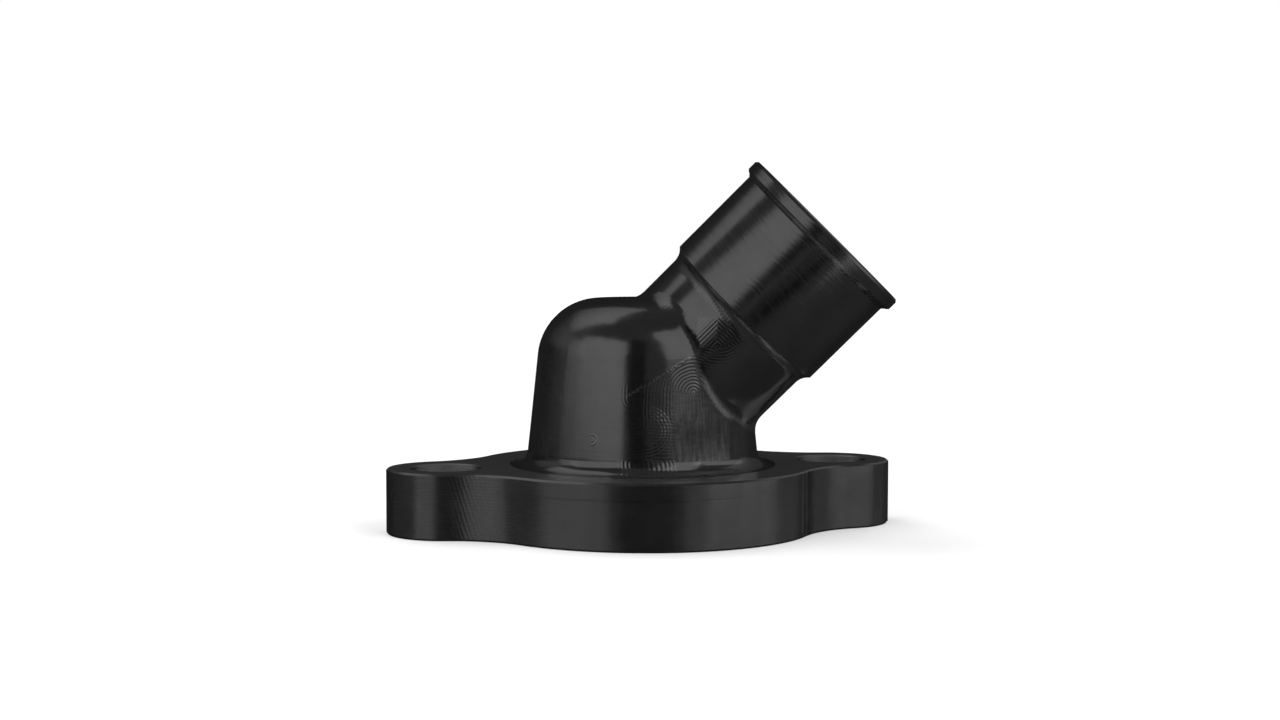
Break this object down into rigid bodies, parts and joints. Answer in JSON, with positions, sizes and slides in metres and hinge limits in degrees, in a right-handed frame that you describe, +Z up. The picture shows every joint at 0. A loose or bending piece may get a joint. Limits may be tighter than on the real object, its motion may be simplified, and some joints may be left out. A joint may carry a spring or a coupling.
{
  "type": "thermostat housing",
  "caption": "Bolt-on coolant outlet cover: a domed body on a flat flange with end lugs, and a hose spigot with a beaded end that leaves the dome at 45 degrees.",
  "frame": {"origin": "on the dome's axis, in the flat face that lies against the engine", "axes": "+Z up along the dome's axis, away from the engine; +X along the line of the bolts, towards the side that the spigot leans to; the spigot's mouth points to +X, a little to -Y, and up"},
  "size_m": [0.107, 0.072, 0.0758],
  "materials": {
    "black_anodised": "satin black anodised, with fine cutter marks"
  },
  "bodies": {
    "root": {"housing": "black_anodised"}
  },
  "joints": []
}
